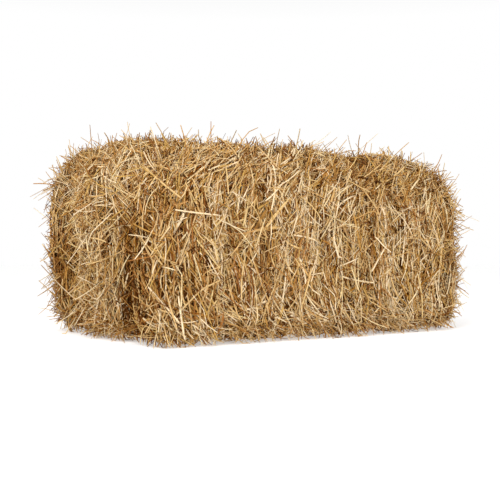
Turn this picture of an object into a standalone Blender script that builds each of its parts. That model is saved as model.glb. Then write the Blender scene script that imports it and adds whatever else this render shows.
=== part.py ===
"""A small square straw bale, lying on its wide side.

Eleven flakes of pressed straw stand side by side along X, like slices in a loaf, and two loops of
baler twine run round them lengthwise. Each flake has the loose stalks that stick out of it fused to
it. Metres, +Z up. The origin is in the middle of the bale's box, on the surface it lies on.
"""

import math
import random

import bmesh
import bpy
from mathutils import Vector, noise

# The pressed body, without its loose stalks
LENGTH = 0.76
WIDTH = 0.50
HEIGHT = 0.37
SEED = 14

# How far its edges round off: at the ends, at the sides, under it, and on top at the first and last end
END_RADIUS = 0.088
SIDE_RADIUS = 0.085
BOTTOM_RADIUS = 0.055
TOP_RADII = (0.090, 0.160)

# How far straw swells out between the loops of twine: the ends, the top, and its far corner at the first end
END_BULGE = 0.022
CROWN_HEIGHT = 0.006
HUMP_HEIGHT = 0.024

# The flakes
FLAKE_COUNT = 11
FLAKE_GAP = 0.0006
THICKNESS_SPREAD = 0.10
SEAM_LEAN = 0.035
SEAM_DEPTH = 0.008
UNDERSIDE_SEAM_DEPTH = 0.004
LUMP_HEIGHT = 0.005
LUMP_SIZE = 0.075
INNER_RINGS = (0.0, 0.22, 0.78, 1.0)
END_RINGS = (0.0, 0.34, 0.68, 1.0)

# The twine, sisal about 4 mm thick
TWINE_RADIUS = 0.002
TWINE_SPREAD = 0.24
TWINE_BITE = 0.008
END_BITE = 0.018
TWINE_BEND = 0.07
KNOT_RADIUS = 0.0031
KNOT_LENGTH = 0.018
GROOVE_DEPTH = 0.006
GROOVE_HALF_WIDTH = 0.016
GROOVE_SLOPE = 0.85
PUFF_SLOPE = 0.45

# The loose stalks, one square prism of three lengths for each lock of straw
STALKS_PER_FLAKE = 13
STALKS_PER_END = 22
STALK_HALF_WIDTH = 0.0028
STALK_LENGTHS = (0.032, 0.064)
STALK_REACH = (0.056, 0.040, 0.050)
STALK_SPACING = 0.013
STALK_TO_TWINE = 0.009
STALK_FLOOR = 0.010
LEAST_RISE = 0.50

HALF = Vector((LENGTH / 2, WIDTH / 2, HEIGHT / 2))
TWINE_Y = TWINE_SPREAD / 2

# Grid lines over a flake's section: across the bale, then up it. The twine's grooves have three each.
COLUMNS = sorted(
    sign * y
    for y in (0.052, TWINE_Y - GROOVE_HALF_WIDTH, TWINE_Y, TWINE_Y + GROOVE_HALF_WIDTH, 0.180, 0.218, HALF.y)
    for sign in (-1, 1)
)
COLUMNS.insert(len(COLUMNS) // 2, 0.0)
ROWS = [-HALF.z, -0.155, -0.112, -0.058, 0.0, 0.058, 0.112, 0.152, HALF.z]


def clear_scene():
    for thing in list(bpy.data.objects):
        bpy.data.objects.remove(thing, do_unlink=True)


def material(name, colour, roughness):
    made = bpy.data.materials.new(name)
    made.use_nodes = True
    shader = made.node_tree.nodes["Principled BSDF"]
    shader.inputs["Base Color"].default_value = (*colour, 1.0)
    shader.inputs["Roughness"].default_value = roughness
    shader.inputs["Metallic"].default_value = 0.0
    made.diffuse_color = (*colour, 1.0)
    return made


def add_object(name, mesh, finish, parent):
    mesh.materials.append(finish)
    made = bpy.data.objects.new(name, mesh)
    bpy.context.scene.collection.objects.link(made)
    made.parent = parent
    return made


def clamp(value, limit):
    return max(-limit, min(limit, value))


def smooth_step(value, start, end):
    share = max(0.0, min(1.0, (value - start) / (end - start)))
    return share * share * (3 - 2 * share)


def over(one, other):
    return Vector(a / b for a, b in zip(one, other))


def edge_radii(point):
    """How far the edges round off lengthwise, across and upwards near a point."""
    first, last = TOP_RADII
    upwards = first + (last - first) * (point.x / LENGTH + 0.5) if point.z > 0 else BOTTOM_RADIUS
    return Vector((END_RADIUS, SIDE_RADIUS, upwards))


def rounded(point):
    """A point on the square box moved onto the box with round edges, and its outward direction."""
    radii = edge_radii(point)
    core = Vector(clamp(point[k], HALF[k] - radii[k]) for k in range(3))
    way = over(point - core, radii).normalized()
    return core + way * radii, over(way, radii).normalized()


def swollen(point):
    """The point moved out to where the straw swells at the ends and on top."""
    bow = max(0.0, 1 - (point.z / HALF.z) ** 2)
    out = END_BULGE * bow * (abs(point.x) / HALF.x) ** 4
    rise = (point.z / HALF.z + 1) / 2
    hump = HUMP_HEIGHT * smooth_step(-point.x, 0.12, 0.36) * smooth_step(point.y, -0.22, 0.05)
    crown = CROWN_HEIGHT * (1 - (point.x / HALF.x) ** 2)
    return point + Vector((math.copysign(out, point.x), 0.0, rise * (hump + crown)))


def twine_half_sizes():
    return HALF.x - END_BITE, HALF.z - TWINE_BITE


def past_twine(x, z):
    """How far (x, z) lies outside the twine's path round the bale, and the way out from it."""
    half_x, half_z = twine_half_sizes()
    past = Vector((abs(x) - (half_x - TWINE_BEND), abs(z) - (half_z - TWINE_BEND)))
    way = Vector((max(past.x, 0.0), max(past.y, 0.0)))
    distance = way.length + min(max(past), 0.0) - TWINE_BEND
    if way.length == 0.0:
        way = Vector((1.0, 0.0)) if past.x > past.y else Vector((0.0, 1.0))
    way = way.normalized()
    return distance, Vector((math.copysign(way.x, x), math.copysign(way.y, z)))


def bitten(point):
    """The point drawn in where a loop of twine bites, in a V groove that opens into a soft puff."""
    for twine_y in (-TWINE_Y, TWINE_Y):
        aside = abs(point.y - twine_y)
        in_groove = min(aside, GROOVE_HALF_WIDTH)
        allowed = GROOVE_SLOPE * in_groove + PUFF_SLOPE * (aside - in_groove) - GROOVE_DEPTH
        distance, way = past_twine(point.x, point.z)
        if distance > allowed:
            point = point - Vector((way.x, 0.0, way.y)) * (distance - allowed)
    return point


def bale_point(box_point, seam):
    """A point of the box as it lies on the bale. seam is 1 on the joint between two flakes, else 0."""
    point, outward = rounded(box_point)
    underside = outward.z < -0.999
    if underside:
        push = -UNDERSIDE_SEAM_DEPTH * seam
    else:
        lump = noise.noise(box_point / LUMP_SIZE + Vector((SEED, 0, 0)))
        push = LUMP_HEIGHT * lump * (1 - seam) - SEAM_DEPTH * seam
    point = bitten(swollen(point + outward * push))
    return Vector((point.x, point.y, max(point.z, -HALF.z)))


def seams(chance):
    """Each joint between flakes as its place at mid section, and its lean across and up the bale."""
    thicknesses = [1 + chance.uniform(-1, 1) * THICKNESS_SPREAD for _ in range(FLAKE_COUNT)]
    thicknesses = [(one + other) / 2 for one, other in zip(thicknesses, reversed(thicknesses))]
    scale = LENGTH / sum(thicknesses)
    found = [(-HALF.x, 0.0, 0.0)]
    for thickness in thicknesses[:-1]:
        lean = [chance.uniform(-1, 1) * SEAM_LEAN for _ in range(2)]
        found.append((found[-1][0] + thickness * scale, *lean))
    found.append((HALF.x, 0.0, 0.0))
    return found


def seam_x(seam, y, z):
    place, lean_y, lean_z = seam
    return place + lean_y * y + lean_z * z


def on_seam(point, seam, side):
    """The point moved into the flake's flat face at a seam, and still no further out than the groove."""
    for _ in range(4):
        point = bitten(point)
        point.x = seam_x(seam, point.y, point.z) + side * FLAKE_GAP / 2
    return point


def rim_loop():
    """(column, row) round the section's edge, anticlockwise seen from +X."""
    last_column, last_row = len(COLUMNS) - 1, len(ROWS) - 1
    below = [(column, 0) for column in range(last_column)]
    right = [(last_column, row) for row in range(last_row)]
    above = [(column, last_row) for column in range(last_column, 0, -1)]
    left = [(0, row) for row in range(last_row, 0, -1)]
    return below + right + above + left


def add_ring(mesh, left, right, share, closing):
    """The section's edge at a share of the way from one seam to the next. closing is +1 or -1 on a seam."""
    ring = []
    for column, row in rim_loop():
        y, z = COLUMNS[column], ROWS[row]
        x = (1 - share) * seam_x(left, y, z) + share * seam_x(right, y, z)
        point = bale_point(Vector((x, y, z)), 1.0 if closing else 0.0)
        if closing:
            point = on_seam(point, left if closing > 0 else right, closing)
        ring.append(mesh.verts.new(point))
    return ring


def add_end_face(mesh, ring, side):
    """The open end of the bale, a grid over the section that closes the last ring."""
    placed = dict(zip(rim_loop(), ring))
    for column in range(1, len(COLUMNS) - 1):
        for row in range(1, len(ROWS) - 1):
            box_point = Vector((side * HALF.x, COLUMNS[column], ROWS[row]))
            placed[column, row] = mesh.verts.new(bale_point(box_point, 0.0))
    faces = []
    for column in range(len(COLUMNS) - 1):
        for row in range(len(ROWS) - 1):
            corners = [(column, row), (column + 1, row), (column + 1, row + 1), (column, row + 1)]
            faces.append(mesh.faces.new([placed[c] for c in corners[::side]]))
    return faces


def flake_body(index, all_seams):
    """One flake without its stalks. Returns the mesh and the faces that stalks may grow from."""
    left, right = all_seams[index], all_seams[index + 1]
    first, last = index == 0, index == FLAKE_COUNT - 1
    shares = INNER_RINGS
    if first or last:
        shares = END_RINGS if last else [1 - share for share in reversed(END_RINGS)]
    mesh = bmesh.new()
    rings = []
    for share in shares:
        closing = 0
        if share == 0.0 and not first:
            closing = 1
        if share == 1.0 and not last:
            closing = -1
        rings.append(add_ring(mesh, left, right, share, closing))
    bands = []
    for ring, following in zip(rings, rings[1:]):
        count = len(ring)
        for k in range(count):
            after = (k + 1) % count
            corners = [ring[k], ring[after], following[after], following[k]]
            bands.append(mesh.faces.new(corners))
    end_faces = []
    if first:
        end_faces = add_end_face(mesh, rings[0], -1)
    else:
        mesh.faces.new(rings[0][::-1])
    if last:
        end_faces = add_end_face(mesh, rings[-1], 1)
    else:
        mesh.faces.new(rings[-1])
    mesh.normal_update()
    middle = bands[len(bands) // 3 : 2 * len(bands) // 3]
    return mesh, [f for f in middle if may_sprout(f)], [f for f in end_faces if may_sprout(f)]


def may_sprout(face):
    """Stalks grow clear of the twine's grooves and of the underside."""
    centre = face.calc_center_median()
    clear_of_twine = abs(abs(centre.y) - TWINE_Y) > GROOVE_HALF_WIDTH
    return clear_of_twine and face.normal.z > -0.6 and centre.z > -HALF.z + STALK_FLOOR


def stalk_path(root, normal, chance):
    """Root, knee and tip of a loose stalk that leans away from its face and bends once."""
    length = chance.uniform(*STALK_LENGTHS)
    aside = Vector(chance.gauss(0, 1) for _ in range(3))
    aside = (aside - normal * aside.dot(normal)).normalized()
    rise = chance.uniform(LEAST_RISE, 0.95)
    first = (normal * rise + aside * math.sqrt(1 - rise * rise)).normalized()
    second = (first + Vector(chance.uniform(-0.35, 0.35) for _ in range(3))).normalized()
    knee = root + first * length * 0.5
    return [root, knee, knee + second * length * 0.5]


def twine_distance(point):
    """How far a point is from the middle of the nearer loop of twine."""
    return math.hypot(abs(point.y) - TWINE_Y, past_twine(point.x, point.z)[0])


def path_fits(path, taken):
    """True if the stalk stays within reach, above the floor and clear of the twine and other stalks."""
    tip = path[-1]
    reach = HALF + Vector(STALK_REACH)
    if any(abs(tip[k]) > reach[k] for k in range(3)) or min(tip.z, path[1].z) < -HALF.z + STALK_FLOOR:
        return False
    samples = [path[0].lerp(path[1], k / 3) for k in range(3)]
    samples += [path[1].lerp(path[2], k / 3) for k in range(4)]
    if any(twine_distance(one) < STALK_TO_TWINE for one in samples):
        return False
    if any((one - other).length < STALK_SPACING for one in samples for other in taken):
        return False
    taken.extend(samples)
    return True


def corner_places(centre, axis, across, half_width):
    """The corners of a square across axis, keyed by the side that each lies on."""
    one = (across - axis * across.dot(axis)).normalized()
    other = axis.cross(one)
    return {
        (s, t): centre + (one * s + other * t) * half_width for s in (-1, 1) for t in (-1, 1)
    }


def grow_stalk(mesh, face, path):
    """Draws the face in to a small square and extrudes it along the path."""
    normal, root = face.normal.copy(), path[0]
    across = (face.verts[1].co - face.verts[0].co).normalized()
    bmesh.ops.inset_individual(mesh, faces=[face], thickness=0.001)
    other = normal.cross(across)
    sides = {}
    for vert in face.verts:
        offset = vert.co - root
        sides[vert] = (
            1 if offset.dot(across) > 0 else -1,
            1 if offset.dot(other) > 0 else -1,
        )
    order = [sides[vert] for vert in face.verts]
    places = corner_places(root, normal, across, STALK_HALF_WIDTH)
    for vert in face.verts:
        vert.co = places[sides[vert]]
    previous = root
    for point, width_share in zip(path[1:], (0.85, 0.35)):
        grown = bmesh.ops.extrude_discrete_faces(mesh, faces=[face])
        face = grown["faces"][0]
        axis = (point - previous).normalized()
        places = corner_places(point, axis, across, STALK_HALF_WIDTH * width_share)
        for vert, side in zip(face.verts, order):
            vert.co = places[side]
        previous = point


def sprout(mesh, faces, count, taken, chance):
    """Grows that many stalks from faces picked at random, each where it has room."""
    faces = list(faces)
    chance.shuffle(faces)
    grown = 0
    for face in faces:
        if grown == count:
            break
        root = face.calc_center_median()
        for _ in range(12):
            path = stalk_path(root, face.normal, chance)
            if path_fits(path, taken):
                grow_stalk(mesh, face, path)
                grown += 1
                break


def make_flakes(parent):
    straw = material("pressed_straw", (0.52, 0.34, 0.14), 0.75)
    chance = random.Random(SEED)
    all_seams = seams(chance)
    taken = []
    for index in range(FLAKE_COUNT):
        mesh, rim_faces, end_faces = flake_body(index, all_seams)
        sprout(mesh, end_faces, STALKS_PER_END, taken, chance)
        sprout(mesh, rim_faces, STALKS_PER_FLAKE, taken, chance)
        bmesh.ops.recalc_face_normals(mesh, faces=mesh.faces)
        data = bpy.data.meshes.new(f"flake_{index + 1:02d}")
        mesh.to_mesh(data)
        mesh.free()
        add_object(data.name, data, straw, parent)


def twine_route():
    """(x, z) round the bale through the path's straight runs and round bends, clockwise from the top."""
    half_x, half_z = twine_half_sizes()
    run_steps, side_steps, bend_steps = 9, 3, 6
    inner_x, inner_z = half_x - TWINE_BEND, half_z - TWINE_BEND
    route = []
    for quarter in range(4):
        turn = quarter * math.pi / 2
        along, steps = (inner_x, run_steps) if quarter % 2 == 0 else (inner_z, side_steps)
        outward = half_z if quarter % 2 == 0 else half_x
        for k in range(steps):
            place = along * (2 * k / steps - 1)
            route.append((
                place * math.cos(turn) + outward * math.sin(turn),
                outward * math.cos(turn) - place * math.sin(turn),
            ))
        for k in range(bend_steps):
            angle = turn + k / bend_steps * math.pi / 2
            centre_x = inner_x if quarter in (0, 1) else -inner_x
            centre_z = inner_z if quarter in (0, 3) else -inner_z
            route.append((
                centre_x + TWINE_BEND * math.sin(angle),
                centre_z + TWINE_BEND * math.cos(angle),
            ))
    return route


def with_knot(route, knot_x):
    """The route as (x, z, thickness) with three more points on the top run, where the knot swells."""
    top = max(z for _, z in route)
    plain = [(x, z, 1.0) for x, z in route]
    swollen = KNOT_RADIUS / TWINE_RADIUS
    knot = [
        (knot_x - KNOT_LENGTH / 2, top, 1.0),
        (knot_x - KNOT_LENGTH / 4, top, swollen),
        (knot_x + KNOT_LENGTH / 4, top, swollen),
        (knot_x + KNOT_LENGTH / 2, top, 1.0),
    ]
    before = [k for k, (x, z, _) in enumerate(plain) if z == top and x < knot_x - KNOT_LENGTH]
    after = [k for k, (x, z, _) in enumerate(plain) if z == top and x > knot_x + KNOT_LENGTH]
    return plain[: before[-1] + 1] + knot + plain[after[0] :]


def make_twine(name, y, knot_x, finish, parent):
    curve = bpy.data.curves.new(name, "CURVE")
    curve.dimensions = "3D"
    curve.bevel_depth = TWINE_RADIUS
    curve.bevel_resolution = 2
    points = with_knot(twine_route(), knot_x)
    spline = curve.splines.new("POLY")
    spline.points.add(len(points) - 1)
    for spot, (x, z, thickness) in zip(spline.points, points):
        spot.co = (x, y, z, 1.0)
        spot.radius = thickness
    spline.use_cyclic_u = True
    add_object(name, curve, finish, parent)


def stand_on_floor(frame):
    """Moves the bale so that its own box is centred over the origin and its underside is at height 0."""
    bpy.context.view_layer.update()
    points = [v.co for child in frame.children if child.type == "MESH" for v in child.data.vertices]
    middle = [(min(p[k] for p in points) + max(p[k] for p in points)) / 2 for k in range(2)]
    frame.location = (-middle[0], -middle[1], HALF.z)


def main():
    clear_scene()
    frame = bpy.data.objects.new("bale", None)
    bpy.context.scene.collection.objects.link(frame)
    make_flakes(frame)
    sisal = material("sisal_twine", (0.60, 0.44, 0.20), 0.8)
    make_twine("twine_front", -TWINE_Y, -0.21, sisal, frame)
    make_twine("twine_back", TWINE_Y, -0.17, sisal, frame)
    stand_on_floor(frame)


main()
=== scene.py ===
import math
import random
from dataclasses import dataclass, fields, replace

import bpy
import numpy as np
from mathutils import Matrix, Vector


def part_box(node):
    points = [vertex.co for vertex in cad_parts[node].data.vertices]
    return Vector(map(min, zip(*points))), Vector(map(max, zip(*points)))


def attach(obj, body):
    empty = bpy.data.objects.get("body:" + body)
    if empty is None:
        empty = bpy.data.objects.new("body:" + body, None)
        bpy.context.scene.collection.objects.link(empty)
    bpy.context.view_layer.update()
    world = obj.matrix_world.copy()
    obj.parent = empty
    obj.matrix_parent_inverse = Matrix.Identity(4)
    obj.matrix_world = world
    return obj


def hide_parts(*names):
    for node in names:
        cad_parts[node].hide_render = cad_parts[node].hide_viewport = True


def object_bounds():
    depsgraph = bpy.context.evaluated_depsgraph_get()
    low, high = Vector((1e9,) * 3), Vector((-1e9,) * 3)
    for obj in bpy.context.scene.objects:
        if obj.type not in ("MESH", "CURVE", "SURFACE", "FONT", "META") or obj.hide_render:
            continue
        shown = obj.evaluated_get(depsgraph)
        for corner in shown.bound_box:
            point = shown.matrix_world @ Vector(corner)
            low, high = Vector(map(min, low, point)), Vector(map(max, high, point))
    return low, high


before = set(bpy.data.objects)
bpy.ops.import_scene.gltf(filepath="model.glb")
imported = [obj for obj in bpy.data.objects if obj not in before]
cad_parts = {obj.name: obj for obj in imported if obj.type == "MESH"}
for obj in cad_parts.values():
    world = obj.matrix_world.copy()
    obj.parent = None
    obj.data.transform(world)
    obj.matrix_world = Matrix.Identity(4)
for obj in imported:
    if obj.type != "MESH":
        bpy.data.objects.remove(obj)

CAD_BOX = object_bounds()

# The pressed body without its loose stalks, as in the CAD model, in metres
LENGTH = 0.76
WIDTH = 0.50
HEIGHT = 0.37
END_RADIUS = 0.088
SIDE_RADIUS = 0.085
BOTTOM_RADIUS = 0.055
TOP_RADII = (0.090, 0.160)
END_BULGE = 0.022
CROWN_HEIGHT = 0.006
HUMP_HEIGHT = 0.024
HUMP_ALONG = (0.12, 0.36)
HUMP_ACROSS = (-0.22, 0.05)
SEED = 14
FLAKE_COUNT = 11
THICKNESS_SPREAD = 0.10
SEAM_LEAN = 0.035
SEAM_DEPTH = 0.009
SEAM_WIDTH = 0.011
LUMP_HEIGHT = 0.005
LUMP_SIZE = 0.06

# The twine and the grooves that it bites
TWINE_RADIUS = 0.002
TWINE_SPREAD = 0.24
TWINE_BITE = 0.008
END_BITE = 0.018
TWINE_BEND = 0.07
GROOVE_DEPTH = 0.006
GROOVE_HALF_WIDTH = 0.016
GROOVE_SLOPE = 0.85
PUFF_SLOPE = 0.45
KNOT_LENGTH = 0.014
KNOT_PLACES = (-0.21, -0.17)

# Straw that crosses the twine or lies this near its middle is mostly left out, so that the twine shows
TWINE_VIEW = 0.008
CLEARED_SHARE = 0.95
# The photo's straw hides the twine on the first end, down to a little below the cleft, so a smaller
# share is left out there: within this much of the end and this much below the cleft
HIDDEN_SHARE = 0.3
HIDDEN_REACH = 0.04
HIDDEN_DROP = 0.03

# How near to the end of the bale a point starts to count as on the end, and how near it fully does
END_BAND = (0.09, 0.02)

# On the ends straw fans out from the twine at this height, over a hollow that painted shade darkens. Upright
# pleats, darkened with painted shade, lie between the twine and the bale's edges, and are weaker at the
# corners that the photo doesn't show.
CLEFT_HEIGHT = 0.032
CLEFT_HALF_WIDTH = 0.015
CLEFT_HALF_HEIGHT = 0.10
PLEAT_MIDDLE = -0.055
PLEAT_ASIDE = 0.035
PLEAT_HALF_WIDTH = 0.07
PLEAT_HALF_HEIGHT = 0.13
PLEAT_DEPTH = 0.012
WEAK_PLEATS = 0.3

# How far the visual model may pass the CAD model's box, and the lowest that straw lies on the floor
OVERHANG = 0.018
FLOOR_GAP = 0.0003

# The straw's map: one upright strip for each tone, dark to pale. A full strip is MAP_LENGTH of stalk,
# and a stalk takes up LONGEST_PART of one at most.
STRIPS = 48
STRIP_FILL = 0.6
MAP_LENGTH = 0.36
LONGEST_PART = 0.9
MAP = "OFBake"
# The corners of a quad, as steps to the next ring and the next side
CORNERS = ((0, 0), (0, 1), (1, 1), (1, 0))

# A smooth random field is made of waves that are this many times as fine as its bumps, least and most
WAVE_FINENESS = (0.6, 1.5)

HALF = np.array([LENGTH, WIDTH, HEIGHT]) / 2
TWINE_Y = TWINE_SPREAD / 2
X, Y, Z = np.eye(3)

rng = np.random.default_rng(SEED)


# The bale's shape


def body_centre():
    """The middle of the pressed body: the twine lies evenly round it along X and Y."""
    front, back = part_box("twine_front"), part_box("twine_back")
    x = (front[0].x + front[1].x) / 2
    y = (front[0].y + back[1].y) / 2
    return np.array([x, y, HALF[2]])


CENTRE = body_centre()


def flake_seams():
    """The joints between flakes, the same ones as in the CAD model: place, lean across, lean up."""
    chance = random.Random(SEED)
    thicknesses = [1 + chance.uniform(-1, 1) * THICKNESS_SPREAD for _ in range(FLAKE_COUNT)]
    thicknesses = [(one + other) / 2 for one, other in zip(thicknesses, reversed(thicknesses))]
    scale = LENGTH / sum(thicknesses)
    found = []
    place = -HALF[0]
    for thickness in thicknesses[:-1]:
        lean = [chance.uniform(-1, 1) * SEAM_LEAN for _ in range(2)]
        place += thickness * scale
        found.append((place, *lean))
    return found


SEAMS = flake_seams()


def unit(vectors):
    return vectors / np.maximum(np.linalg.norm(vectors, axis=-1, keepdims=True), 1e-9)


def smooth_step(values, start, end):
    share = np.clip((values - start) / (end - start), 0, 1)
    return share * share * (3 - 2 * share)


def past_seam(points, seam):
    """How far a point is past a joint along the bale, negative before it."""
    place, lean_y, lean_z = seam
    return points[..., 0] - place - lean_y * points[..., 1] - lean_z * points[..., 2]


def flake_of(points):
    """The number of the flake that a point is in, from 0."""
    return sum((past_seam(points, seam) > 0).astype(int) for seam in SEAMS)


def near_seam(points):
    """1 on a joint between two flakes, falling to 0 beside it."""
    return sum(np.exp(-((past_seam(points, seam) / SEAM_WIDTH) ** 2)) for seam in SEAMS)


def waves(points, size, count=9, seed=1):
    """A smooth random field between about -1 and 1, whose bumps are about size across."""
    chance = np.random.default_rng(seed)
    ways = unit(chance.normal(size=(count, 3))) * chance.uniform(*WAVE_FINENESS, (count, 1))
    ways = ways * math.pi / size
    starts = chance.uniform(0, 2 * math.pi, count)
    return np.sin(np.einsum("...k,wk->...w", points, ways) + starts).sum(-1) / math.sqrt(count)


def beside_twine(points):
    """How far a point is from the nearer loop of twine across the bale, negative between the loops."""
    return np.abs(points[..., 1]) - TWINE_Y


def past_twine(points):
    """How far a point is outside the twine's path round the bale, and the way out from it."""
    half = HALF[[0, 2]] - (END_BITE, TWINE_BITE)
    flat = points[..., [0, 2]]
    over = np.abs(flat) - (half - TWINE_BEND)
    way = np.maximum(over, 0)
    distance = np.linalg.norm(way, axis=-1) + np.minimum(over.max(-1), 0) - TWINE_BEND
    return distance, unit(way) * np.sign(flat)


def on_end(points):
    """1 on either end of the bale, 0 elsewhere."""
    first, last = END_BAND
    return smooth_step(np.abs(points[..., 0]), HALF[0] - first, HALF[0] - last)


def in_pleats(points):
    """How much a point is in the upright pleats beside the twine on an end, from 0 to 1; painted shade
    darkens their stalks.
    """
    across = np.exp(-(((beside_twine(points) - PLEAT_ASIDE) / PLEAT_HALF_WIDTH) ** 4))
    up = np.exp(-(((points[..., 2] - PLEAT_MIDDLE) / PLEAT_HALF_HEIGHT) ** 4))
    strength = np.where((points[..., :2] < 0).all(-1), 1.0, WEAK_PLEATS)
    return strength * across * up * on_end(points)


def in_cleft(points):
    """How much a point is in the hollow at the twine on an end, from 0 to 1; painted shade darkens its
    stalks.
    """
    across = np.exp(-((beside_twine(points) / CLEFT_HALF_WIDTH) ** 2))
    up = np.exp(-(((points[..., 2] - PLEAT_MIDDLE) / CLEFT_HALF_HEIGHT) ** 4))
    return across * up * on_end(points)


def edge_radii(points):
    """How far the edges round off lengthwise, across and upwards near each point."""
    first, last = TOP_RADII
    upwards = first + (last - first) * np.clip(points[..., 0] / LENGTH + 0.5, 0, 1)
    upwards = np.where(points[..., 2] > 0, upwards, BOTTOM_RADIUS)
    return np.stack([np.full_like(upwards, END_RADIUS), np.full_like(upwards, SIDE_RADIUS), upwards], -1)


def swell(placed):
    """Moves the points out, in place, to where the straw swells at the ends and on top."""
    x, y, z = np.moveaxis(placed, -1, 0)
    along, up = np.clip(x / HALF[0], -1, 1), np.clip(z / HALF[2], -1, 1)
    hump = HUMP_HEIGHT * smooth_step(-x, *HUMP_ALONG) * smooth_step(y, *HUMP_ACROSS)
    crown = CROWN_HEIGHT * (1 - along**2)
    placed[..., 2] += (up + 1) / 2 * (hump + crown)
    placed[..., 0] += np.sign(along) * END_BULGE * (1 - up**2) * along**4


def on_bale(points, height):
    """The points moved to a height over the bale's surface, and the way out of the surface there."""
    radii = edge_radii(points)
    core = np.clip(points, radii - HALF, HALF - radii)
    way = unit((points - core) / radii)
    outward = unit(way / radii)
    dents = SEAM_DEPTH * near_seam(points) + PLEAT_DEPTH * in_pleats(points)
    push = LUMP_HEIGHT * waves(points, LUMP_SIZE) - dents
    placed = core + way * radii + outward * push[..., None]
    swell(placed)
    distance, way = past_twine(placed)
    aside = np.abs(beside_twine(placed))
    in_groove = np.minimum(aside, GROOVE_HALF_WIDTH)
    allowed = GROOVE_SLOPE * in_groove + PUFF_SLOPE * (aside - in_groove) - GROOVE_DEPTH
    bite = np.maximum(distance - allowed, 0)
    placed[..., 0] -= way[..., 0] * bite
    placed[..., 2] -= way[..., 1] * bite
    return placed + outward * np.broadcast_to(height, push.shape)[..., None], outward


# Where stalks lie

SIDES = "sides"
TOP = "top"
UNDERSIDE = "underside"
ENDS = "ends"
CLEFTS = "clefts"
PLEATS = "pleats"
FOOT = "foot"
AREAS = {
    SIDES: 2 * LENGTH * HEIGHT,
    TOP: LENGTH * WIDTH,
    UNDERSIDE: LENGTH * WIDTH,
    ENDS: 2 * WIDTH * HEIGHT,
    CLEFTS: 1.0,
    PLEATS: 1.0,
    FOOT: 1.0,
}
# The foot's straw grows below this height, and this share of it on the long sides
FOOT_HEIGHT = 0.030
FOOT_LENGTHWISE = 0.75
# How far tufts spread round a place this much over the cleft, and hanks round the middle of the pleats
TUFT_SPREAD = 0.06
TUFT_RISE = 0.04
HANK_SPREAD = 0.05


def face_counts(where, count):
    """How many of the stalks go to each kind of face, from the faces' weights and areas."""
    parts = {face: AREAS[face] * weight for face, weight in where.items()}
    return {face: round(count * part / sum(parts.values())) for face, part in parts.items()}


def random_spots(face, count):
    """Points spread over one kind of face, with the way a stalk usually lies there and the way across."""
    spots = rng.uniform(-1, 1, (count, 3)) * HALF
    side = rng.choice([-1.0, 1.0], count)
    if face == SIDES:
        spots[:, 1] = side * HALF[1]
        return spots, Z, X
    if face in (TOP, UNDERSIDE):
        spots[:, 2] = HALF[2] if face == TOP else -HALF[2]
        return spots, Y, X
    if face == FOOT:
        lengthwise = rng.random(count) < FOOT_LENGTHWISE
        spots[:, 0] = np.where(lengthwise, spots[:, 0], side * HALF[0])
        spots[:, 1] = np.where(lengthwise, side * HALF[1], spots[:, 1])
        spots[:, 2] = FOOT_HEIGHT * rng.random(count) - HALF[2]
        return spots, Z, X
    spots[:, 0] = side * HALF[0]
    if face == CLEFTS:
        inboard = np.abs(rng.normal(0, TUFT_SPREAD, count))
        spots[:, 1] = rng.choice([-1.0, 1.0], count) * (TWINE_Y - inboard)
        spots[:, 2] = CLEFT_HEIGHT + rng.normal(TUFT_RISE, TUFT_SPREAD, count)
    if face == PLEATS:
        spots[:, 1] = side * (TWINE_Y + np.abs(rng.normal(0, HANK_SPREAD, count)))
        spots[:, 2] = PLEAT_MIDDLE + rng.normal(0, HANK_SPREAD, count)
    return spots, Z, Y


# How widely the angles of straw spread, in radians, and how much less they do in the pleats
FAN_ANGLES = 0.55
END_ANGLES = 0.45
HANK_ANGLES = 0.12
WILD_ANGLES = 0.55
PLEAT_ORDER = 0.25
# The share of an end's straw that fans out, and the share of any straw that lies across the rest
FANNED_SHARE = 0.30
ACROSS_SHARE = 0.07
# Straw leans from this share of the way to a long edge, and fully after this much more of the way
LEAN_START = 0.4
SIDE_LEAN_BAND = 0.35
TOP_LEAN_BAND = 0.5
# How far it leans on a side, in radians, and what share of that on the top
SIDE_LEAN = 0.75
TOP_LEAN = 0.6
# How wild it lies on the top, from 0 to 1, and how far along the bale it starts to be and is wildest
TOP_WILDNESS = 0.7
WILD_BAND = (0.86, 0.98)
# How far neighbours lean together, in radians, and the size of their patches
SWIRL = 0.2
SWIRL_SIZE = 0.05


def fan_angle(spots):
    """The angle at which straw fans out from where the nearer twine pulls it in."""
    aside = spots[:, 1] - np.copysign(TWINE_Y, spots[:, 1])
    return np.arctan2(aside, spots[:, 2] - CLEFT_HEIGHT) + rng.normal(0, FAN_ANGLES, len(spots))


def lie_on_end(spots):
    """Straw on an end stands upright or fans out from where the nearer twine pulls it in."""
    count = len(spots)
    upright = rng.normal(0, 1, count) * (END_ANGLES - PLEAT_ORDER * in_pleats(spots))
    fanned = rng.random(count) < FANNED_SHARE * (1 - in_pleats(spots))
    return np.where(fanned, fan_angle(spots), upright)


def near_edge(values, half, band):
    """0 in the middle, from -half to half, and rising to 1 towards both edges."""
    return np.clip((np.abs(values) / half - LEAN_START) / band, 0, 1)


def lie_along(face, spots, spread):
    """Straw stands upright mid-side and leans over, more at random, near the long sides' edges."""
    x, y, z = spots.T
    if face == SIDES:
        wild = near_edge(z, HALF[2], SIDE_LEAN_BAND)
        lean = SIDE_LEAN * wild * np.sign(z)
    else:
        wild = TOP_WILDNESS
        lean = -TOP_LEAN * SIDE_LEAN * near_edge(y, HALF[1], TOP_LEAN_BAND) * np.sign(y)
    wild = np.maximum(wild, smooth_step(np.abs(x), *(share * HALF[0] for share in WILD_BAND)))
    spread = spread + (WILD_ANGLES - spread) * wild
    return lean + rng.normal(0, 1, len(spots)) * spread + SWIRL * waves(spots, SWIRL_SIZE, seed=5)


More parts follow.
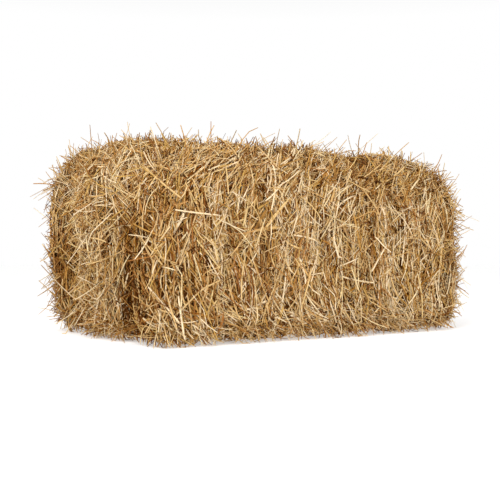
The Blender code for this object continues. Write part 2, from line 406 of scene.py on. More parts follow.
def lie_angle(face, spots, spread):
    """The angle that each stalk lies at, from the face's usual way to its way across."""
    count = len(spots)
    if face == FOOT:
        return rng.uniform(-math.pi, math.pi, count)
    if face == CLEFTS:
        return fan_angle(spots)
    if face == PLEATS:
        return rng.normal(0, HANK_ANGLES, count)
    angle = lie_on_end(spots) if face == ENDS else lie_along(face, spots, spread)
    across = rng.random(count) < ACROSS_SHARE
    return np.where(across, rng.uniform(-math.pi / 2, math.pi / 2, count), angle)


# Stalks


@dataclass
class Look:
    """How one kind of stalk looks and lies. Metres and radians; pairs are the least and the most."""

    count: int
    # Weights for the kinds of face
    where: dict
    # Height over the bale's surface, of the root if it is rooted and else of the middle
    height: tuple
    length: tuple
    # Above 1, more of them are short
    shortness: float
    width: tuple
    # Thickness against width, and how much narrower the ends are
    flatness: float
    taper: float
    # How the way it lies spreads, how it slopes up from the surface, bends steadily and bends at a joint
    spread: float
    lift: tuple
    curl: float
    kink: float
    # The share by which it follows the surface, and how far it weaves up and down between others
    hug: tuple
    weave: float
    rooted: bool
    # Lengths and sides of its mesh. Open ones are an arc without an underside.
    steps: int
    sides: int
    closed: bool
    # From 0, dark, to 1, pale, and how much darker deep ones are drawn, as painted shade
    tone: float
    tone_spread: float
    depth_painted_shade: float


@dataclass
class Stalks:
    """Many stalks of one look: centre lines, the way out of the bale along them, sizes and heights.

    The start, from 0 to 1, says where on the map each begins.
    """

    path: np.ndarray
    outward: np.ndarray
    radius: np.ndarray
    length: np.ndarray
    height: np.ndarray
    start: np.ndarray

    def pick(self, chosen):
        return Stalks(*(getattr(self, field.name)[chosen] for field in fields(self)))


# The share of stalks with a kinked joint, and how far a weaving stalk swings, in radians
KINKED_SHARE = 0.35
WEAVE_SWING = 5


def between(limits, count):
    """Random values between two limits, as many as a number or a shape says."""
    return rng.uniform(*limits, count)


def bent_headings(look, count, lie, outward):
    """The way each step of each stalk runs: it turns by a steady curl, and at one joint by a kink."""
    beside = np.cross(outward, lie)
    place = (np.arange(look.steps) + 0.5) / look.steps - 0.5
    curl = rng.normal(0, look.curl, (count, 1)) * place
    droop = rng.normal(0, look.curl, (count, 1)) * place
    kinked = (rng.random((count, 1)) < KINKED_SHARE) & (place > between((-0.5, 0.5), (count, 1)))
    turn = curl + rng.normal(0, look.kink, (count, 1)) * kinked
    rise = np.tan(between(look.lift, (count, 1))) + droop
    level = np.cos(turn)[..., None] * lie[:, None] + np.sin(turn)[..., None] * beside[:, None]
    return unit(level + rise[..., None] * outward[:, None])


def lay_stalks(face, count, look):
    """Stalks of one look at random places on one kind of face."""
    spots, usual, across = random_spots(face, count)
    angle = lie_angle(face, spots, look.spread)
    height = between(look.height, count)
    roots, outward = on_bale(spots, height)
    lie = np.cos(angle)[:, None] * usual + np.sin(angle)[:, None] * across
    lie = lie * rng.choice([-1.0, 1.0], (count, 1))
    lie = unit(lie - outward * (lie * outward).sum(-1, keepdims=True))
    shortest, longest = look.length
    length = shortest * (longest / shortest) ** (rng.random(count) ** look.shortness)
    steps = bent_headings(look, count, lie, outward) * (length / look.steps)[:, None, None]
    path = np.concatenate([np.zeros((count, 1, 3)), np.cumsum(steps, 1)], 1) + roots[:, None]
    if not look.rooted:
        path -= (path - roots[:, None]).mean(1, keepdims=True)
    # The share of each stalk that follows the surface, weaving up and down
    hug = between(look.hug, count)[:, None, None]
    swing = between((0, 2 * math.pi), count)[:, None]
    weave = look.weave * np.sin(swing + np.linspace(0, WEAVE_SWING, look.steps + 1))
    laid, beneath = on_bale(path, height[:, None] + weave)
    path = path * (1 - hug) + laid * hug
    outward = unit(outward[:, None] * (1 - hug) + beneath * hug)
    radius = between(look.width, count) / 2
    path[..., 2] = np.maximum(path[..., 2], radius[:, None] - HALF[2])
    return Stalks(path, outward, radius, length, height, rng.random(count))


def within_reach(stalks):
    """Picks the stalks that pass the CAD model's box by no more than the overhang."""
    low = np.array(CAD_BOX[0]) - OVERHANG
    high = np.array(CAD_BOX[1]) + OVERHANG
    path = stalks.path + CENTRE
    return ((path > low) & (path < high)).all(axis=(1, 2))


def over_twine(stalks):
    """Picks most of the stalks that lie over the twine, to leave them out where the twine shows."""
    aside = beside_twine(stalks.path)
    crossing = (np.abs(aside) < TWINE_VIEW)[:, 1:] | (aside[:, 1:] * aside[:, :-1] < 0)
    distance = past_twine(stalks.path)[0]
    outside = np.maximum(distance[:, 1:], distance[:, :-1]) > TWINE_RADIUS / 2
    covered = (crossing & outside).any(1)
    x, _, z = stalks.path[:, 0].T
    hidden = (x < HIDDEN_REACH - HALF[0]) & (z > CLEFT_HEIGHT - HIDDEN_DROP)
    return covered & (rng.random(len(covered)) < np.where(hidden, HIDDEN_SHARE, CLEARED_SHARE))


# How much darker or paler stalks are in one place or another, on the scale of tones from 0 to 1: painted
# shade in the seams, cleft and pleats and on the ends, and painted light at the foot and on stalks that stick
# out
SEAM_SHADE = 0.07
CLEFT_SHADE = 0.25
PLEAT_SHADES = (0.1, 1.0)
END_SHADE = 0.04
FOOT_LIGHT = 0.06
RAISED_LIGHT = 0.07
# How far from mid-height the paler foot, painted light, and the darker top, painted shade, start and are full
EDGE_BAND = (0.08, 0.17)
# How much more the tones differ at the foot
FOOT_SPREAD = 0.35
# How far a stalk rises over its length to start to be paler with painted light, and to be fully so
RAISED_BAND = (0.015, 0.045)
# How deep under the surface painted shade starts, and how much deeper it is full
SHADE_START = 0.004
SHADE_DEPTH = 0.012
# Slow changes over the bale: how much, how far across and the seed of each
DRIFTS = ((0.07, 0.10, 3), (0.06, 0.025, 4))
TONE_LIMITS = (0.01, 0.99)


def tones(stalks, look):
    """Each stalk's tone from 0, dark, to 1, pale. It drifts over the bale and is darker in hollows, deep down
    and on the ends, with painted shade.

    Stalks that stick out are paler, with painted light. So are those near the foot, where tones also differ
    more, and those near the top are darker, with painted shade.
    """
    middle = stalks.path.mean(1)
    low, high = (smooth_step(way * middle[:, 2], *EDGE_BAND) for way in (-1, 1))
    rise = ((stalks.path[:, -1] - stalks.path[:, 0]) * stalks.outward[:, 0]).sum(-1)
    chance = rng.normal(0, look.tone_spread, len(middle)) * (1 + FOOT_SPREAD * low)
    drift = sum(share * waves(middle, size, seed=seed) for share, size, seed in DRIFTS)
    depth = np.clip(-(stalks.height + SHADE_START) / SHADE_DEPTH, 0, 1)
    shade = look.depth_painted_shade * depth + SEAM_SHADE * near_seam(middle) + CLEFT_SHADE * in_cleft(middle)
    shade = shade + in_pleats(middle) * between(PLEAT_SHADES, len(middle))
    lit = FOOT_LIGHT * (low - high) + RAISED_LIGHT * smooth_step(rise, *RAISED_BAND)
    lit = lit - END_SHADE * on_end(middle)
    return np.clip(look.tone + chance + drift + lit - shade, *TONE_LIMITS)


def rings(path, outward, radius, look):
    """Points round each centre line: rings for a tube, or arcs for an open look."""
    forward = unit(np.gradient(path, axis=1))
    across = unit(np.cross(outward, forward))
    up = np.cross(forward, across)
    turn = np.linspace(0, 2 * math.pi, look.sides, endpoint=False)
    if not look.closed:
        turn = np.linspace(0, math.pi, look.sides)
    along = np.linspace(-1, 1, path.shape[1])
    width = radius[:, None] * (1 - look.taper * np.abs(along) ** 3)
    arms = across[:, :, None] * np.cos(turn)[:, None]
    arms = arms + up[:, :, None] * (np.sin(turn) * look.flatness)[:, None]
    points = path[:, :, None] + arms * width[..., None, None] + CENTRE
    points[..., 2] = np.maximum(points[..., 2], FLOOR_GAP)
    return points


def ring_corners(count, steps, sides, closed):
    """Stalk, ring and side of each quad between the rings of count stalks."""
    spans = sides if closed else sides - 1
    return np.meshgrid(np.arange(count), np.arange(steps), np.arange(spans), indexing="ij")


def ring_faces(count, steps, sides, closed):
    """Corner numbers of those quads."""
    stalk, ring, side = ring_corners(count, steps, sides, closed)
    after = (side + 1) % sides
    near = (stalk * (steps + 1) + ring) * sides
    far = near + sides
    return np.stack([near + side, near + after, far + after, far + side], -1).reshape(-1, 4)


def ring_map(tone, start, length, steps, sides, closed):
    """The place on the straw's map of each corner of those quads."""
    spans = sides if closed else sides - 1
    stalk, ring, side = ring_corners(len(tone), steps, sides, closed)
    strip = np.floor(tone * STRIPS)
    part = np.minimum(length / MAP_LENGTH, LONGEST_PART)
    start = start * (1 - part)
    found = []
    for ring_step, side_step in CORNERS:
        u = (strip[stalk] + 0.5 + STRIP_FILL * ((side + side_step) / spans - 0.5)) / STRIPS
        v = start[stalk] + part[stalk] * (ring + ring_step) / steps
        found.append(np.stack([u, v], -1))
    return np.stack(found, -2).reshape(-1, 2)


class Heap:
    """The mesh of one piece, gathered bit by bit."""

    def __init__(self):
        self.points = []
        self.faces = []
        self.map = []
        self.count = 0

    def add(self, points, faces, places):
        self.points.append(points.reshape(-1, 3))
        self.faces.append(faces + self.count)
        self.map.append(places)
        self.count += points.size // 3

    def add_stalks(self, stalks, tone, look):
        size = (len(tone), look.steps, look.sides, look.closed)
        points = rings(stalks.path, stalks.outward, stalks.radius, look)
        self.add(points, ring_faces(*size), ring_map(tone, stalks.start, stalks.length, *size[1:]))

    def build(self, name, finish):
        points = np.concatenate(self.points).astype(np.float32)
        faces = np.concatenate(self.faces).astype(np.int32)
        mesh = bpy.data.meshes.new(name)
        mesh.vertices.add(len(points))
        mesh.vertices.foreach_set("co", points.ravel())
        mesh.loops.add(faces.size)
        mesh.loops.foreach_set("vertex_index", faces.ravel())
        mesh.polygons.add(len(faces))
        mesh.polygons.foreach_set("loop_start", np.arange(0, faces.size, 4, dtype=np.int32))
        layer = mesh.uv_layers.new(name=MAP)
        layer.uv.foreach_set("vector", np.concatenate(self.map).astype(np.float32).ravel())
        mesh.update(calc_edges=True)
        mesh.shade_smooth()
        mesh.materials.append(finish)
        made = bpy.data.objects.new(name, mesh)
        bpy.context.scene.collection.objects.link(made)
        return made


# The bed lies deepest: its low tone is painted shade of the gaps between the stalks over it
BED = Look(
    count=9000, where={SIDES: 1, TOP: 1, ENDS: 0.7, UNDERSIDE: 0.9}, height=(-0.016, -0.006),
    length=(0.04, 0.11), shortness=1.0, width=(0.0022, 0.0040), flatness=0.6, taper=0.2,
    spread=0.20, lift=(-0.1, 0.1), curl=0.35, kink=0.4, hug=(0.8, 1.0), weave=0.002, rooted=False,
    steps=3, sides=3, closed=False, tone=0.28, tone_spread=0.13, depth_painted_shade=0.38,
)
LAID = replace(
    BED, count=19000, where={SIDES: 1, TOP: 1, ENDS: 0.9, UNDERSIDE: 0.4}, height=(-0.009, 0.001),
    length=(0.035, 0.12), width=(0.0015, 0.0030), lift=(-0.12, 0.12), hug=(0.6, 1.0), weave=0.0025,
    tone=0.585, tone_spread=0.30,
)
LOOSE = replace(
    LAID, count=4000, where={SIDES: 1, TOP: 1, ENDS: 1, UNDERSIDE: 0.2}, height=(-0.004, 0.005),
    length=(0.03, 0.10), width=(0.0017, 0.0032), flatness=0.75, spread=0.30, lift=(-0.22, 0.22),
    hug=(0.2, 0.9), sides=4, closed=True, tone=0.71, tone_spread=0.24,
)
TIPS = replace(
    LOOSE, count=30000, where={SIDES: 1, TOP: 1.1, ENDS: 1.0}, height=(-0.012, 0.001),
    length=(0.010, 0.030), shortness=1.4, width=(0.0011, 0.0026), spread=0.8, lift=(0.2, 1.3),
    curl=0.3, hug=(0.0, 0.1), weave=0.0, rooted=True, steps=1, sides=3, tone=0.59, tone_spread=0.31,
)
FIBRES = replace(
    LOOSE, count=12000, height=(-0.006, 0.003), length=(0.014, 0.06), width=(0.0007, 0.0015),
    spread=0.6, lift=(-0.3, 0.4), curl=1.1, hug=(0.3, 0.95), sides=2, closed=False, tone=0.66,
)
BLADES = replace(
    LOOSE, count=600, height=(-0.003, 0.005), length=(0.04, 0.10), width=(0.003, 0.006),
    flatness=0.35, taper=0.85, spread=0.6, curl=0.5, steps=5, sides=3, closed=False, tone=0.72,
)
BRUSH = replace(
    LOOSE, count=4300, where={SIDES: 0.4, TOP: 0.45, ENDS: 1.2}, height=(-0.008, 0.001),
    length=(0.025, 0.060), width=(0.0014, 0.0028), spread=0.8, lift=(0.15, 1.0), curl=0.5, kink=0.5,
    hug=(0.0, 0.2), weave=0.0, rooted=True, sides=3, tone=0.72, tone_spread=0.17,
)
STRAYS = replace(
    BRUSH, count=950, where={SIDES: 1, TOP: 0.6, ENDS: 2.2}, height=(-0.004, 0.003),
    length=(0.035, 0.085), shortness=1.4, lift=(0.3, 1.0), hug=(0.0, 0.05), steps=4, tone=0.71,
)
TUFTS = replace(
    LOOSE, count=520, where={CLEFTS: 1}, height=(0.001, 0.012), length=(0.05, 0.12),
    width=(0.0020, 0.0034), lift=(-0.1, 0.25), kink=0.3, hug=(0.5, 0.9), steps=5, tone=0.84,
)
SKIRT = replace(
    BRUSH, count=1800, where={FOOT: 1}, height=(-0.010, 0.0), length=(0.015, 0.045), lift=(0.3, 1.3),
    tone=0.54,
)
HEROES = replace(
    LOOSE, count=740, where={SIDES: 1, TOP: 0.8, ENDS: 2.1}, height=(0.001, 0.007), length=(0.04, 0.11),
    width=(0.0024, 0.0036), flatness=0.85, spread=0.5, lift=(-0.12, 0.12), curl=0.2, hug=(0.2, 0.8),
    steps=6, sides=6, tone=0.87, tone_spread=0.12,
)
HANKS = replace(
    HEROES, count=90, where={PLEATS: 1}, height=(0.002, 0.010), length=(0.07, 0.14),
    width=(0.0020, 0.0032), lift=(-0.05, 0.15), hug=(0.6, 0.9), sides=4, tone=0.98,
)
LOOKS = (BED, LAID, LOOSE, TIPS, FIBRES, BLADES, BRUSH, STRAYS, TUFTS, SKIRT, HEROES, HANKS)


def strew(heaps, look):
    """Lays the stalks of one look, each in the heap of the flake that it lies on.

    Every draw is made for all of them before some are dropped, so one more or less moves no other.
    """
    for face, count in face_counts(look.where, look.count).items():
        stalks = lay_stalks(face, count, look)
        tone = tones(stalks, look)
        kept = within_reach(stalks) & ~over_twine(stalks)
        owner = flake_of(stalks.path.mean(1))
        for index, heap in enumerate(heaps):
            mine = kept & (owner == index)
            heap.add_stalks(stalks.pick(mine), tone[mine], look)


# The core's dark tone is painted shade of the deep gaps between the stalks
CORE_PAINTED_SHADE = 0.2
CORE_DEPTH = 0.015
CORE_OVERLAP = 0.004
CORE_BUMPS = 0.003
CORE_BUMP_SIZE = 0.012
# The rings that close an open end, as shares of its size
END_RINGS = (0.94, 0.8, 0.6, 0.4, 0.2, 0.03)


def add_core(heap, index, steps_round=96, steps_along=5):
    """The packed straw under one flake's stalks, a sleeve round the flake that is closed on an end, drawn
    dark as painted shade of the deep gaps.
    """
    low = SEAMS[index - 1][0] if index > 0 else -HALF[0]
    high = SEAMS[index][0] if index < FLAKE_COUNT - 1 else HALF[0]
    turn = np.linspace(0, 2 * math.pi, steps_round, endpoint=False)
    rim = np.stack([np.cos(turn), np.sin(turn)], -1)
    rim = rim / np.abs(rim).max(-1, keepdims=True) * HALF[1:]
    # Each ring as its place along the bale and its share of the full size
    lined = [(x, 1.0) for x in np.linspace(low - CORE_OVERLAP, high + CORE_OVERLAP, steps_along + 1)]
    if index == 0:
        lined = [(-HALF[0], share) for share in END_RINGS[::-1]] + lined
    if index == FLAKE_COUNT - 1:
        lined += [(HALF[0], share) for share in END_RINGS]
    grid = np.stack([np.concatenate([np.full((steps_round, 1), x), rim * share], -1) for x, share in lined])
    bumps = CORE_BUMPS * waves(grid, CORE_BUMP_SIZE, seed=6)
    placed = on_bale(grid, -CORE_DEPTH + bumps)[0] + CENTRE
    placed[..., 2] = np.maximum(placed[..., 2], 2 * FLOOR_GAP)
    size = (len(lined) - 1, steps_round, True)
    places = ring_map(np.array([CORE_PAINTED_SHADE]), rng.random(1), np.array([MAP_LENGTH / 2]), *size)
    heap.add(placed, ring_faces(1, *size), places)


# Materials

BUMP_HEIGHT = 0.0004


def add_node(tree, kind, inputs, operation=None):
    """A node with its inputs, by name or number, set to values or linked to other nodes' sockets."""
    made = tree.nodes.new(kind)
    if operation:
        made.operation = operation
    for key, value in inputs.items():
        if isinstance(value, bpy.types.NodeSocket):
            tree.links.new(value, made.inputs[key])
        else:
            made.inputs[key].default_value = value
    return made


def maths(tree, operation, one, other=0.0):
    return add_node(tree, "ShaderNodeMath", {0: one, 1: other}, operation).outputs[0]


def scaled(tree, value, scale, offset):
    return maths(tree, "ADD", maths(tree, "MULTIPLY", value, scale), offset)


def ramp(tree, factor, stops):
    made = add_node(tree, "ShaderNodeValToRGB", {"Fac": factor})
    while len(made.color_ramp.elements) < len(stops):
        made.color_ramp.elements.new(0.5)
    for element, (place, colour) in zip(made.color_ramp.elements, stops):
        element.position = place
        element.color = (*colour, 1.0)
    return made.outputs["Color"]


def noise(tree, x, y, detail):
    """Noise over a plane, with the place on it given by two sockets."""
    place = add_node(tree, "ShaderNodeCombineXYZ", {"X": x, "Y": y}).outputs[0]
    made = add_node(tree, "ShaderNodeTexNoise", {"Vector": place, "Scale": 1.0, "Detail": detail})
    return made.outputs[0]


def stretched_noise(tree, x, x_scale, y, y_scale, detail):
    return noise(tree, maths(tree, "MULTIPLY", x, x_scale), maths(tree, "MULTIPLY", y, y_scale), detail)


def new_material(name):
    made = bpy.data.materials.new(name)
    made.use_nodes = True
    return made, made.node_tree, made.node_tree.nodes["Principled BSDF"]


def add_bump(tree, shader, height, strength):
    bump = add_node(tree, "ShaderNodeBump", {"Strength": strength, "Distance": BUMP_HEIGHT, "Height": height})
    tree.links.new(bump.outputs[0], shader.inputs["Normal"])


def map_place(tree):
    """Where a spot is on its piece's map, across and along."""
    place = tree.nodes.new("ShaderNodeUVMap")
    place.uv_map = MAP
    split = add_node(tree, "ShaderNodeSeparateXYZ", {"Vector": place.outputs[0]})
    return split.outputs[0], split.outputs[1]


STRAW_TONES = (
    (0.0, (0.070, 0.020, 0.0020)),
    (0.2, (0.185, 0.060, 0.0070)),
    (0.4, (0.390, 0.172, 0.0360)),
    (0.6, (0.560, 0.318, 0.1000)),
    (0.8, (0.700, 0.482, 0.2120)),
    (1.0, (0.840, 0.670, 0.4150)),
)
JOINTS_PER_STRIP = 4.0
JOINT_SHADE = 0.55
JOINT_FADE = 12.0
# How fine streaks and blotches are along a strip, and how much they change across it or to the next one
STREAKS_ALONG = 9.0
STREAKS_ACROSS = 7.0
BLOTCHES_ALONG = 22.0
BLOTCHES_ACROSS = 3.7
# How much each of these changes, and its least value
STREAK_SHADE = (0.55, 0.72)
BLOTCH_SHADE = (0.5, 0.75)
STRAW_HUE = (0.016, 0.494)
STRAW_SATURATION = (0.10, 0.92)
STRAW_ROUGHNESS = (0.3, 0.36)


def joint_shade(tree, along, start):
    """Dark where a stalk's joint is and fading along it, a few times on each strip."""
    place = maths(tree, "FRACT", scaled(tree, along, JOINTS_PER_STRIP, start))
    return maths(tree, "MAXIMUM", scaled(tree, place, -JOINT_FADE, JOINT_SHADE))


def straw_material():
    """Straw drawn on its map: a strip for each tone, with streaks, blotches and joints along it."""
    made, tree, shader = new_material("straw")
    across, along = map_place(tree)
    strip = maths(tree, "FLOOR", maths(tree, "MULTIPLY", across, STRIPS))
    chance = tree.nodes.new("ShaderNodeTexWhiteNoise")
    chance.noise_dimensions = "1D"
    tree.links.new(strip, chance.inputs["W"])
    lots = add_node(tree, "ShaderNodeSeparateColor", {"Color": chance.outputs["Color"]}).outputs
    streaks = stretched_noise(tree, across, STRIPS * STREAKS_ACROSS, along, STREAKS_ALONG, 3.0)
    blotches = stretched_noise(tree, strip, BLOTCHES_ACROSS, along, BLOTCHES_ALONG, 2.0)
    shade = scaled(tree, streaks, *STREAK_SHADE)
    shade = maths(tree, "MULTIPLY", shade, scaled(tree, blotches, *BLOTCH_SHADE))
    shade = maths(tree, "MULTIPLY", shade, scaled(tree, joint_shade(tree, along, lots[0]), -1.0, 1.0))
    look = {
        "Color": ramp(tree, maths(tree, "DIVIDE", strip, STRIPS - 1), STRAW_TONES),
        "Hue": scaled(tree, lots[1], *STRAW_HUE),
        "Saturation": scaled(tree, lots[2], *STRAW_SATURATION),
        "Value": shade,
    }
    tree.links.new(add_node(tree, "ShaderNodeHueSaturation", look).outputs[0], shader.inputs["Base Color"])
    tree.links.new(scaled(tree, streaks, *STRAW_ROUGHNESS), shader.inputs["Roughness"])
    shader.inputs["Specular IOR Level"].default_value = 0.0
    add_bump(tree, shader, streaks, 0.3)
    return made


SISAL_TONES = (
    (0.25, (0.42, 0.28, 0.120)),
    (0.5, (0.68, 0.52, 0.270)),
    (0.75, (0.82, 0.70, 0.440)),
)
# How fine the sisal's fibres are along the map and across it, and how much they wind round the ply
SISAL_ALONG = 5.0
SISAL_ACROSS = 5.0
SISAL_WOUND = 16.0
SISAL_ROUGHNESS = (0.2, 0.7)


def sisal_material():
    """Sisal fibres that run along each ply and wind round it."""
    made, tree, shader = new_material("sisal")
    across, along = map_place(tree)
    across = maths(tree, "MULTIPLY", across, SISAL_ACROSS)
    wound = maths(tree, "ADD", across, maths(tree, "MULTIPLY", along, SISAL_WOUND))
    fibres = noise(tree, wound, maths(tree, "MULTIPLY", along, SISAL_ALONG), 4.0)
    tree.links.new(ramp(tree, fibres, SISAL_TONES), shader.inputs["Base Color"])
    tree.links.new(scaled(tree, fibres, *SISAL_ROUGHNESS), shader.inputs["Roughness"])
    shader.inputs["Specular IOR Level"].default_value = 0.1
    add_bump(tree, shader, fibres, 0.6)
    return made


PAPER_TONES = ((0.3, (0.90, 0.90, 0.895)), (0.7, (0.91, 0.91, 0.905)))
PAPER_GLOW = 0.40


def paper_material():
    """The studio's matt white paper, with a faint unevenness."""
    made, tree, shader = new_material("paper")
    grain = add_node(tree, "ShaderNodeTexNoise", {"Scale": 3.0}).outputs[0]
    tree.links.new(ramp(tree, grain, PAPER_TONES), shader.inputs["Base Color"])
    shader.inputs["Roughness"].default_value = 0.9
    shader.inputs["Specular IOR Level"].default_value = 0.1
    shader.inputs["Emission Color"].default_value = (1.0, 1.0, 1.0, 1.0)
    shader.inputs["Emission Strength"].default_value = PAPER_GLOW
    return made


# Twine

TURNS = 168
STEPS_PER_TURN = 6
TURNS_PER_MAP = 8
BEND_POINTS = 16
# The radius of a ply and its distance from the twine's middle, as shares of the twine's radius
PLY_SHARE = 0.6
PLY_ASIDE = 0.48
PLY = replace(LOOSE, sides=5, flatness=1.0, taper=0.0)
HAIR = replace(FIBRES, count=700, length=(0.002, 0.005), width=(0.00016, 0.0003), steps=2, taper=0.6)
KNOT_TURNS = 3
KNOT_POINTS = 40
KNOT_PLY_RADIUS = 0.0015
# The twine's two cut ends at the knot: their length and way, and how they rise and bow down again
TAIL_POINTS = 12
TAIL_LENGTH = 0.022
TAIL_WAY = 0.8 * X + 0.6 * Y
TAIL_RISE = 0.008
TAIL_BOW = 0.75 * math.pi


def twine_middle(y):
    """Points along the middle of one loop at even steps, from the last bend on top."""
    half_x, half_z = HALF[0] - END_BITE, HALF[2] - TWINE_BITE
    bend = np.linspace(0, math.pi / 2, BEND_POINTS)
    route = []
    for quarter, (side_x, side_z) in enumerate(((1, 1), (1, -1), (-1, -1), (-1, 1))):
        turn = quarter * math.pi / 2 + bend
        x = side_x * (half_x - TWINE_BEND) + TWINE_BEND * np.sin(turn)
        z = side_z * (half_z - TWINE_BEND) + TWINE_BEND * np.cos(turn)
        route.append(np.stack([x, z], -1))
    route = np.concatenate([*route, route[0][:1]])
    gone = np.concatenate([[0], np.cumsum(np.linalg.norm(np.diff(route, axis=0), axis=1))])
    places = np.linspace(0, gone[-1], TURNS * STEPS_PER_TURN + 1)
    x, z = (np.interp(places, gone, route[:, k]) for k in range(2))
    return np.stack([x, np.full_like(x, y), z], -1)


def ply_map(steps, sides):
    """The map runs once along every few turns of a ply."""
    _, ring, side = ring_corners(1, steps, sides, True)
    lap = TURNS_PER_MAP * STEPS_PER_TURN
    found = []
    for ring_step, side_step in CORNERS:
        found.append(np.stack([(side + side_step) / sides, (ring % lap + ring_step) / lap], -1))
    return np.stack(found, -2).reshape(-1, 2)


def add_ply(heap, path, outward, radius):
    """One ply of twine along a path."""
    steps = len(path) - 1
    points = rings(path[None], outward[None], np.array([radius]), PLY)
    heap.add(points, ring_faces(1, steps, PLY.sides, True), ply_map(steps, PLY.sides))


def add_knot(heap, place):
    """Tight turns round the twine, and its two cut ends, which rise out of the knot to either side."""
    turn = np.linspace(0, KNOT_TURNS * 2 * math.pi, KNOT_POINTS)
    round_twine = np.cos(turn)[:, None] * Y + np.sin(turn)[:, None] * Z
    along = np.linspace(-0.5, 0.5, KNOT_POINTS)[:, None] * X * KNOT_LENGTH
    add_ply(heap, place + along + round_twine * TWINE_RADIUS, round_twine, KNOT_PLY_RADIUS)
    reach = np.linspace(0, 1, TAIL_POINTS)[:, None]
    bow = np.sin(reach * TAIL_BOW)
    for side in (-1, 1):
        root = place + side * X * KNOT_LENGTH / 2
        tail = root + side * TAIL_WAY * TAIL_LENGTH * reach + Z * TAIL_RISE * bow
        add_ply(heap, tail, np.tile(Z, (len(reach), 1)), KNOT_PLY_RADIUS)


def add_hair(heap, middle):
    """Short fibres that stand off the twine, each bent once."""
    root = middle[rng.integers(0, len(middle), HAIR.count)]
    way = unit(rng.normal(size=(HAIR.count, 3)))
    bent = unit(way + rng.normal(size=(HAIR.count, 3)))
    reach = between(HAIR.length, HAIR.count)[:, None]
    path = np.stack([root, root + way * reach, root + (way + bent) * reach], 1)
    outward = np.repeat(unit(np.cross(way, bent))[:, None], len(path[0]), 1)
    points = rings(path, outward, between(HAIR.width, HAIR.count) / 2, HAIR)
    size = (HAIR.count, HAIR.steps, HAIR.sides, HAIR.closed)
    tone, start = rng.random((2, HAIR.count))
    heap.add(points, ring_faces(*size), ring_map(tone, start, reach[:, 0], *size[1:]))


def make_twine(name, node_name, y, knot_x, finish):
    """Two plies twisted round each other along the twine's route, with the knot on top."""
    middle = twine_middle(y)
    forward = unit(np.gradient(middle, axis=0))
    out = np.cross(Y, forward)
    heap = Heap()
    for start in (0, math.pi):
        turn = start + np.arange(len(middle)) / STEPS_PER_TURN * 2 * math.pi
        offset = np.cos(turn)[:, None] * Y + np.sin(turn)[:, None] * out
        add_ply(heap, middle + offset * TWINE_RADIUS * PLY_ASIDE, offset, TWINE_RADIUS * PLY_SHARE)
    add_knot(heap, np.array([knot_x, y, HALF[2] - TWINE_BITE]))
    add_hair(heap, middle)
    piece = heap.build(name, finish)
    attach(piece, "root")
    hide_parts(node_name)


def make_bale():
    straw = straw_material()
    heaps = [Heap() for _ in range(FLAKE_COUNT)]
    for index, heap in enumerate(heaps):
        add_core(heap, index)
    for look in LOOKS:
        strew(heaps, look)
    for index, heap in enumerate(heaps):
        number = f"{index + 1:02d}"
        piece = heap.build(f"straw_{number}", straw)
        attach(piece, "root")
        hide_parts(f"flake_{number}")
    sisal = sisal_material()
    make_twine("baler_twine_front", "twine_front", -TWINE_Y, KNOT_PLACES[0], sisal)
    make_twine("baler_twine_back", "twine_back", TWINE_Y, KNOT_PLACES[1], sisal)


# The studio

# The photo's camera: its yaw and height, how far ahead and aside it has the bale's nearest upright edge,
# and its focal length, shift and frame in the photo's pixels
YAW = math.radians(35)
CAMERA_HEIGHT = 0.1665
CORNER_DISTANCE = 1.5625
CORNER_ASIDE = -0.149
FOCAL_PIXELS = 906
SHIFT_PIXELS = 4
FRAME_PIXELS = 500
SENSOR = 36.0

FLOOR_RADIUS = 12.0
FLOOR_SIDES = 96
# The lights aim at this height. The world's tones go from the horizon upwards.
AIM_HEIGHT = 0.2
WORLD_TONES = ((0.25, (1.0, 1.0, 1.0)), (0.50, (0.58, 0.58, 0.58)))

FORWARD = np.array([math.sin(YAW), math.cos(YAW), 0.0])
RIGHT = np.array([math.cos(YAW), -math.sin(YAW), 0.0])


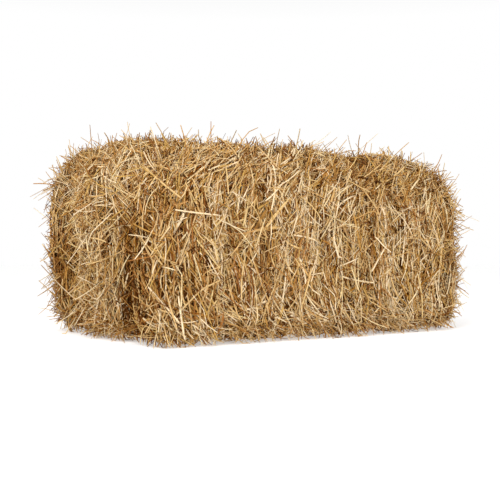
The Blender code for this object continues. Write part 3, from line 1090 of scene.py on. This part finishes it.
def make_camera():
    """A level camera, placed by where the photo has the bale's nearest upright edge."""
    data = bpy.data.cameras.new("camera")
    data.sensor_width = SENSOR
    data.lens = SENSOR * FOCAL_PIXELS / FRAME_PIXELS
    data.shift_y = SHIFT_PIXELS / FRAME_PIXELS
    camera = bpy.data.objects.new("camera", data)
    corner = CENTRE + HALF * (-1, -1, 0)
    place = corner - FORWARD * CORNER_DISTANCE - RIGHT * CORNER_ASIDE
    camera.location = (place[0], place[1], CAMERA_HEIGHT)
    camera.rotation_euler = (math.pi / 2, 0, -YAW)
    bpy.context.scene.collection.objects.link(camera)
    bpy.context.scene.camera = camera


def make_stage():
    """A wide round pale floor, which meets a white world at its far edge."""
    turns = np.linspace(0, 2 * math.pi, FLOOR_SIDES, endpoint=False)
    rim = [(FLOOR_RADIUS * math.cos(turn), FLOOR_RADIUS * math.sin(turn), 0.0) for turn in turns]
    mesh = bpy.data.meshes.new("floor")
    mesh.from_pydata(rim, [], [range(len(rim))])
    mesh.materials.append(paper_material())
    floor = bpy.data.objects.new("floor", mesh)
    bpy.context.scene.collection.objects.link(floor)


def add_light(name, place, size, power):
    """A round soft light at a place given as aside, back and up from the bale, aimed at the bale."""
    data = bpy.data.lights.new(name, "AREA")
    data.shape = "DISK"
    data.size = size
    data.energy = power
    light = bpy.data.objects.new(name, data)
    aside, back, height = place
    place = RIGHT * aside - FORWARD * back + Z * height
    light.location = place
    toward = Z * AIM_HEIGHT - place
    yaw = math.atan2(toward[1], toward[0]) - math.pi / 2
    pitch = math.atan2(toward[2], math.hypot(toward[0], toward[1])) + math.pi / 2
    light.rotation_euler = (pitch, 0, yaw)
    bpy.context.scene.collection.objects.link(light)


def make_light():
    world = bpy.data.worlds.new("studio")
    world.use_nodes = True
    tree = world.node_tree
    way = add_node(tree, "ShaderNodeTexCoord", {}).outputs["Generated"]
    up = add_node(tree, "ShaderNodeSeparateXYZ", {"Vector": way}).outputs["Z"]
    tree.links.new(ramp(tree, up, WORLD_TONES), tree.nodes["Background"].inputs["Color"])
    bpy.context.scene.world = world
    add_light("key", place=(-0.48, 2.0, 1.8), size=1.2, power=43)
    add_light("fill", place=(1.8, 1.8, 0.9), size=2.0, power=10)
    bpy.context.scene.view_settings.view_transform = "Standard"


make_camera()
make_stage()
make_light()
make_bale()
